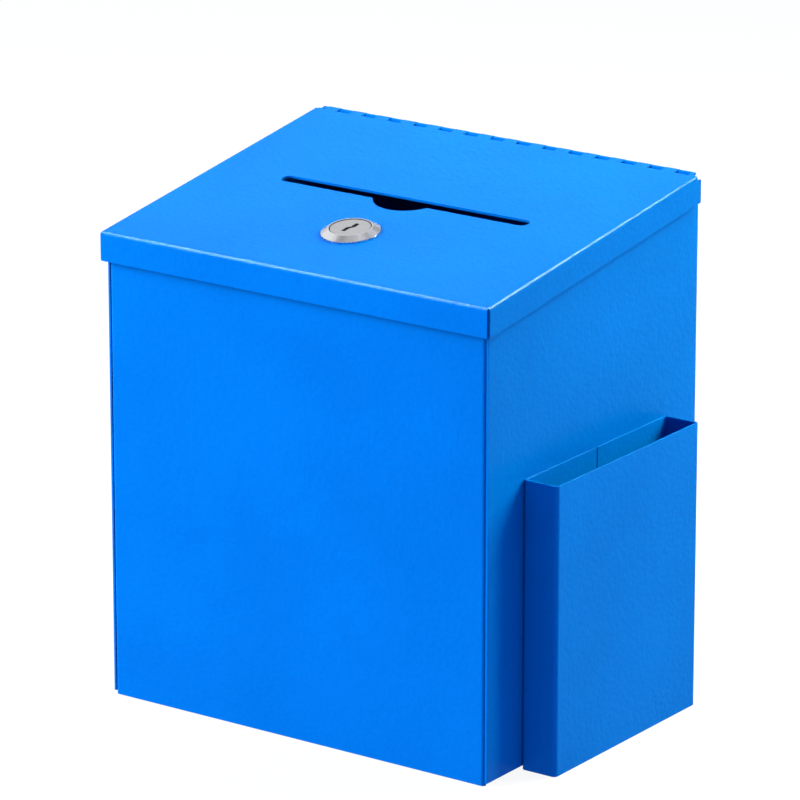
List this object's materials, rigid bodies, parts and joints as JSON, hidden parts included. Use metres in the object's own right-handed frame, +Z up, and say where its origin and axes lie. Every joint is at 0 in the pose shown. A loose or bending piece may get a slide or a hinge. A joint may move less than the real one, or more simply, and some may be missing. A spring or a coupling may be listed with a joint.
{
  "type": "mailbox",
  "caption": "Sheet-steel suggestion box with a sloping hinged lid, a letter slot with a thumb notch, a cam lock and an open side pocket for cards and a pen.",
  "frame": {"origin": "centre of the box's underside, midway between the side walls and between the front and back walls, without the pocket", "axes": "front faces -Y, the side pocket is on +X, +Z is up; the lid's hinge runs along X at the rear top edge"},
  "size_m": [0.1991, 0.15, 0.2124],
  "materials": {
    "blue_powder_coat": "satin blue powder coat with a fine orange-peel texture on sheet steel",
    "lock_chrome": "satin chrome plate on die-cast zinc",
    "zinc_steel": "zinc-plated steel",
    "wafer_brass": "stamped brass",
    "rivet_aluminium": "plain aluminium blind rivets"
  },
  "bodies": {
    "box": {"side_back_wrap": "blue_powder_coat", "front_panel": "blue_powder_coat", "bottom_pan": "blue_powder_coat", "keeper": "zinc_steel", "hinge_leaf": "blue_powder_coat", "hinge_pin": "zinc_steel", "pocket_sleeve": "blue_powder_coat", "pocket_floor": "blue_powder_coat", "pocket_rivets": "rivet_aluminium"},
    "lid": {"lid_panel": "blue_powder_coat", "lock_housing": "lock_chrome", "spur_washer": "zinc_steel", "lock_nut": "zinc_steel"},
    "plug": {"lock_plug": "lock_chrome", "wafer_springs": "zinc_steel", "lock_cam": "zinc_steel", "cam_washer": "zinc_steel", "cam_screw": "zinc_steel"},
    "wafers": {"lock_wafers": "wafer_brass"}
  },
  "joints": [
    {"name": "lid_hinge", "type": "hinge", "parent": "box", "child": "lid", "pos_m": [0, 0.0709, 0.21048], "axis": [-1, 0, 0], "range_deg": [0, 95]},
    {"name": "lock_turn", "type": "hinge", "parent": "lid", "child": "plug", "pos_m": [0, -0.03612, 0.19793], "axis": [0, -0.134, 0.991], "range_deg": [0, 90]},
    {"name": "wafer_slide", "type": "slide", "parent": "plug", "child": "wafers", "axis": [0, 0.991, 0.134], "range_m": [0, 0.0006]}
  ]
}
